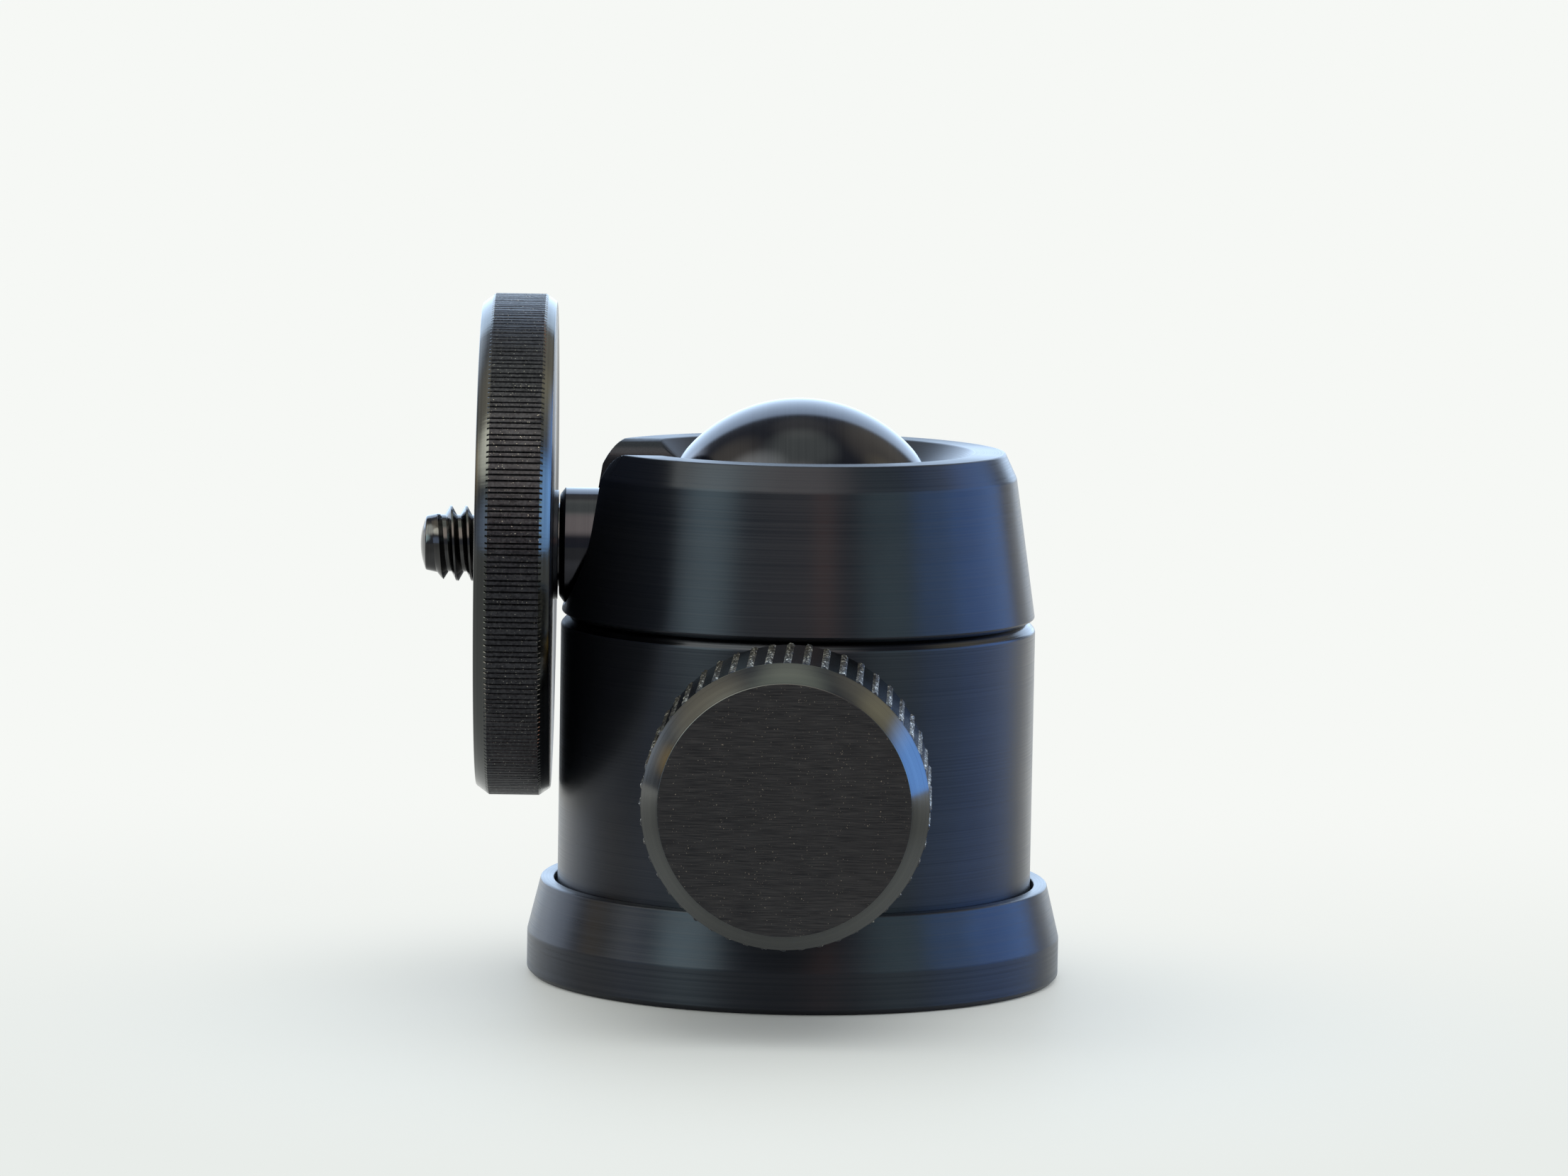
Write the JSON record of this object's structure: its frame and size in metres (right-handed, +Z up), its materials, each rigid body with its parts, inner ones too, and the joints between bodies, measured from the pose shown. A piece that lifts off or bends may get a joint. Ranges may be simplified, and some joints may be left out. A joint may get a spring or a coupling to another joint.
{
  "type": "tripod ball head",
  "caption": "Compact ball head with a panning base, a lock knob, a drop notch in the collar, a round camera platform and a threaded camera stud.",
  "frame": {"origin": "centre of the mouth of the tripod thread, on the flat underside of the base", "axes": "+Z up along the pan axis; at rest the ball's stem lies along -X in the collar's notch, and the lock knob points to -Y, turned 2.4 degrees towards -X"},
  "size_m": [0.0544, 0.0626, 0.0572],
  "materials": {
    "anodised_turned": "black anodised over fine turning",
    "anodised_polished": "black hard anodised over a polished ball",
    "anodised_knurled": "black anodised, straight grooves",
    "plain_aluminium": "machined, inside only",
    "black_steel": "black oxide",
    "bright_steel": "bright",
    "brass": "turned",
    "acetal": "machined acetal"
  },
  "bodies": {
    "base": {"base_plate": "anodised_turned", "pan_washer": "acetal", "pan_retainer": "bright_steel", "retainer_screws": "black_steel"},
    "housing": {"main_housing": "anodised_turned", "flange_washer": "acetal", "pan_brake": "plain_aluminium", "socket_collar": "anodised_turned", "upper_seat": "acetal", "collar_screw": "black_steel", "key_screw": "black_steel", "spindle_bush": "brass", "wedge_spring": "bright_steel"},
    "wedge": {"clamp_wedge": "brass"},
    "knob": {"lock_knob": "anodised_knurled", "lock_spindle": "bright_steel", "knob_screw": "black_steel"},
    "piston": {"pressure_piston": "plain_aluminium"},
    "seat": {"lower_seat": "acetal"},
    "ball": {"ball_stem": "anodised_polished"},
    "platform": {"platform_disc": "anodised_knurled", "camera_stud": "black_steel"}
  },
  "joints": [
    {"name": "pan", "type": "hinge", "parent": "base", "child": "housing", "pos_m": [0, 0, 0.0036], "axis": [0, 0, 1], "continuous": true},
    {"name": "wedge_slide", "type": "slide", "parent": "housing", "child": "wedge", "axis": [0.0419, 0.9991, 0], "range_m": [-0.0015, 0]},
    {"name": "knob_turn", "type": "hinge", "parent": "wedge", "child": "knob", "pos_m": [0, 0, 0.0192], "axis": [0.0419, 0.9991, 0], "range_deg": [-541, 0]},
    {"name": "piston_slide", "type": "slide", "parent": "housing", "child": "piston", "axis": [0, 0, 1], "range_m": [-0.000182, 0]},
    {"name": "sway", "type": "hinge", "parent": "housing", "child": "seat", "pos_m": [0, 0, 0.0361], "axis": [1, 0, 0], "range_deg": [-25, 25]},
    {"name": "tilt", "type": "hinge", "parent": "seat", "child": "ball", "pos_m": [0, 0, 0.0361], "axis": [0, 1, 0], "range_deg": [0, 115]},
    {"name": "platform_spin", "type": "hinge", "parent": "ball", "child": "platform", "pos_m": [0, 0, 0.0361], "axis": [-1, 0, 0], "continuous": true}
  ],
  "couplings": [
    {"joint": "knob_turn", "follows": "wedge_slide", "rad_per_m": 6283.2},
    {"joint": "piston_slide", "follows": "wedge_slide", "ratio": 0.12}
  ]
}
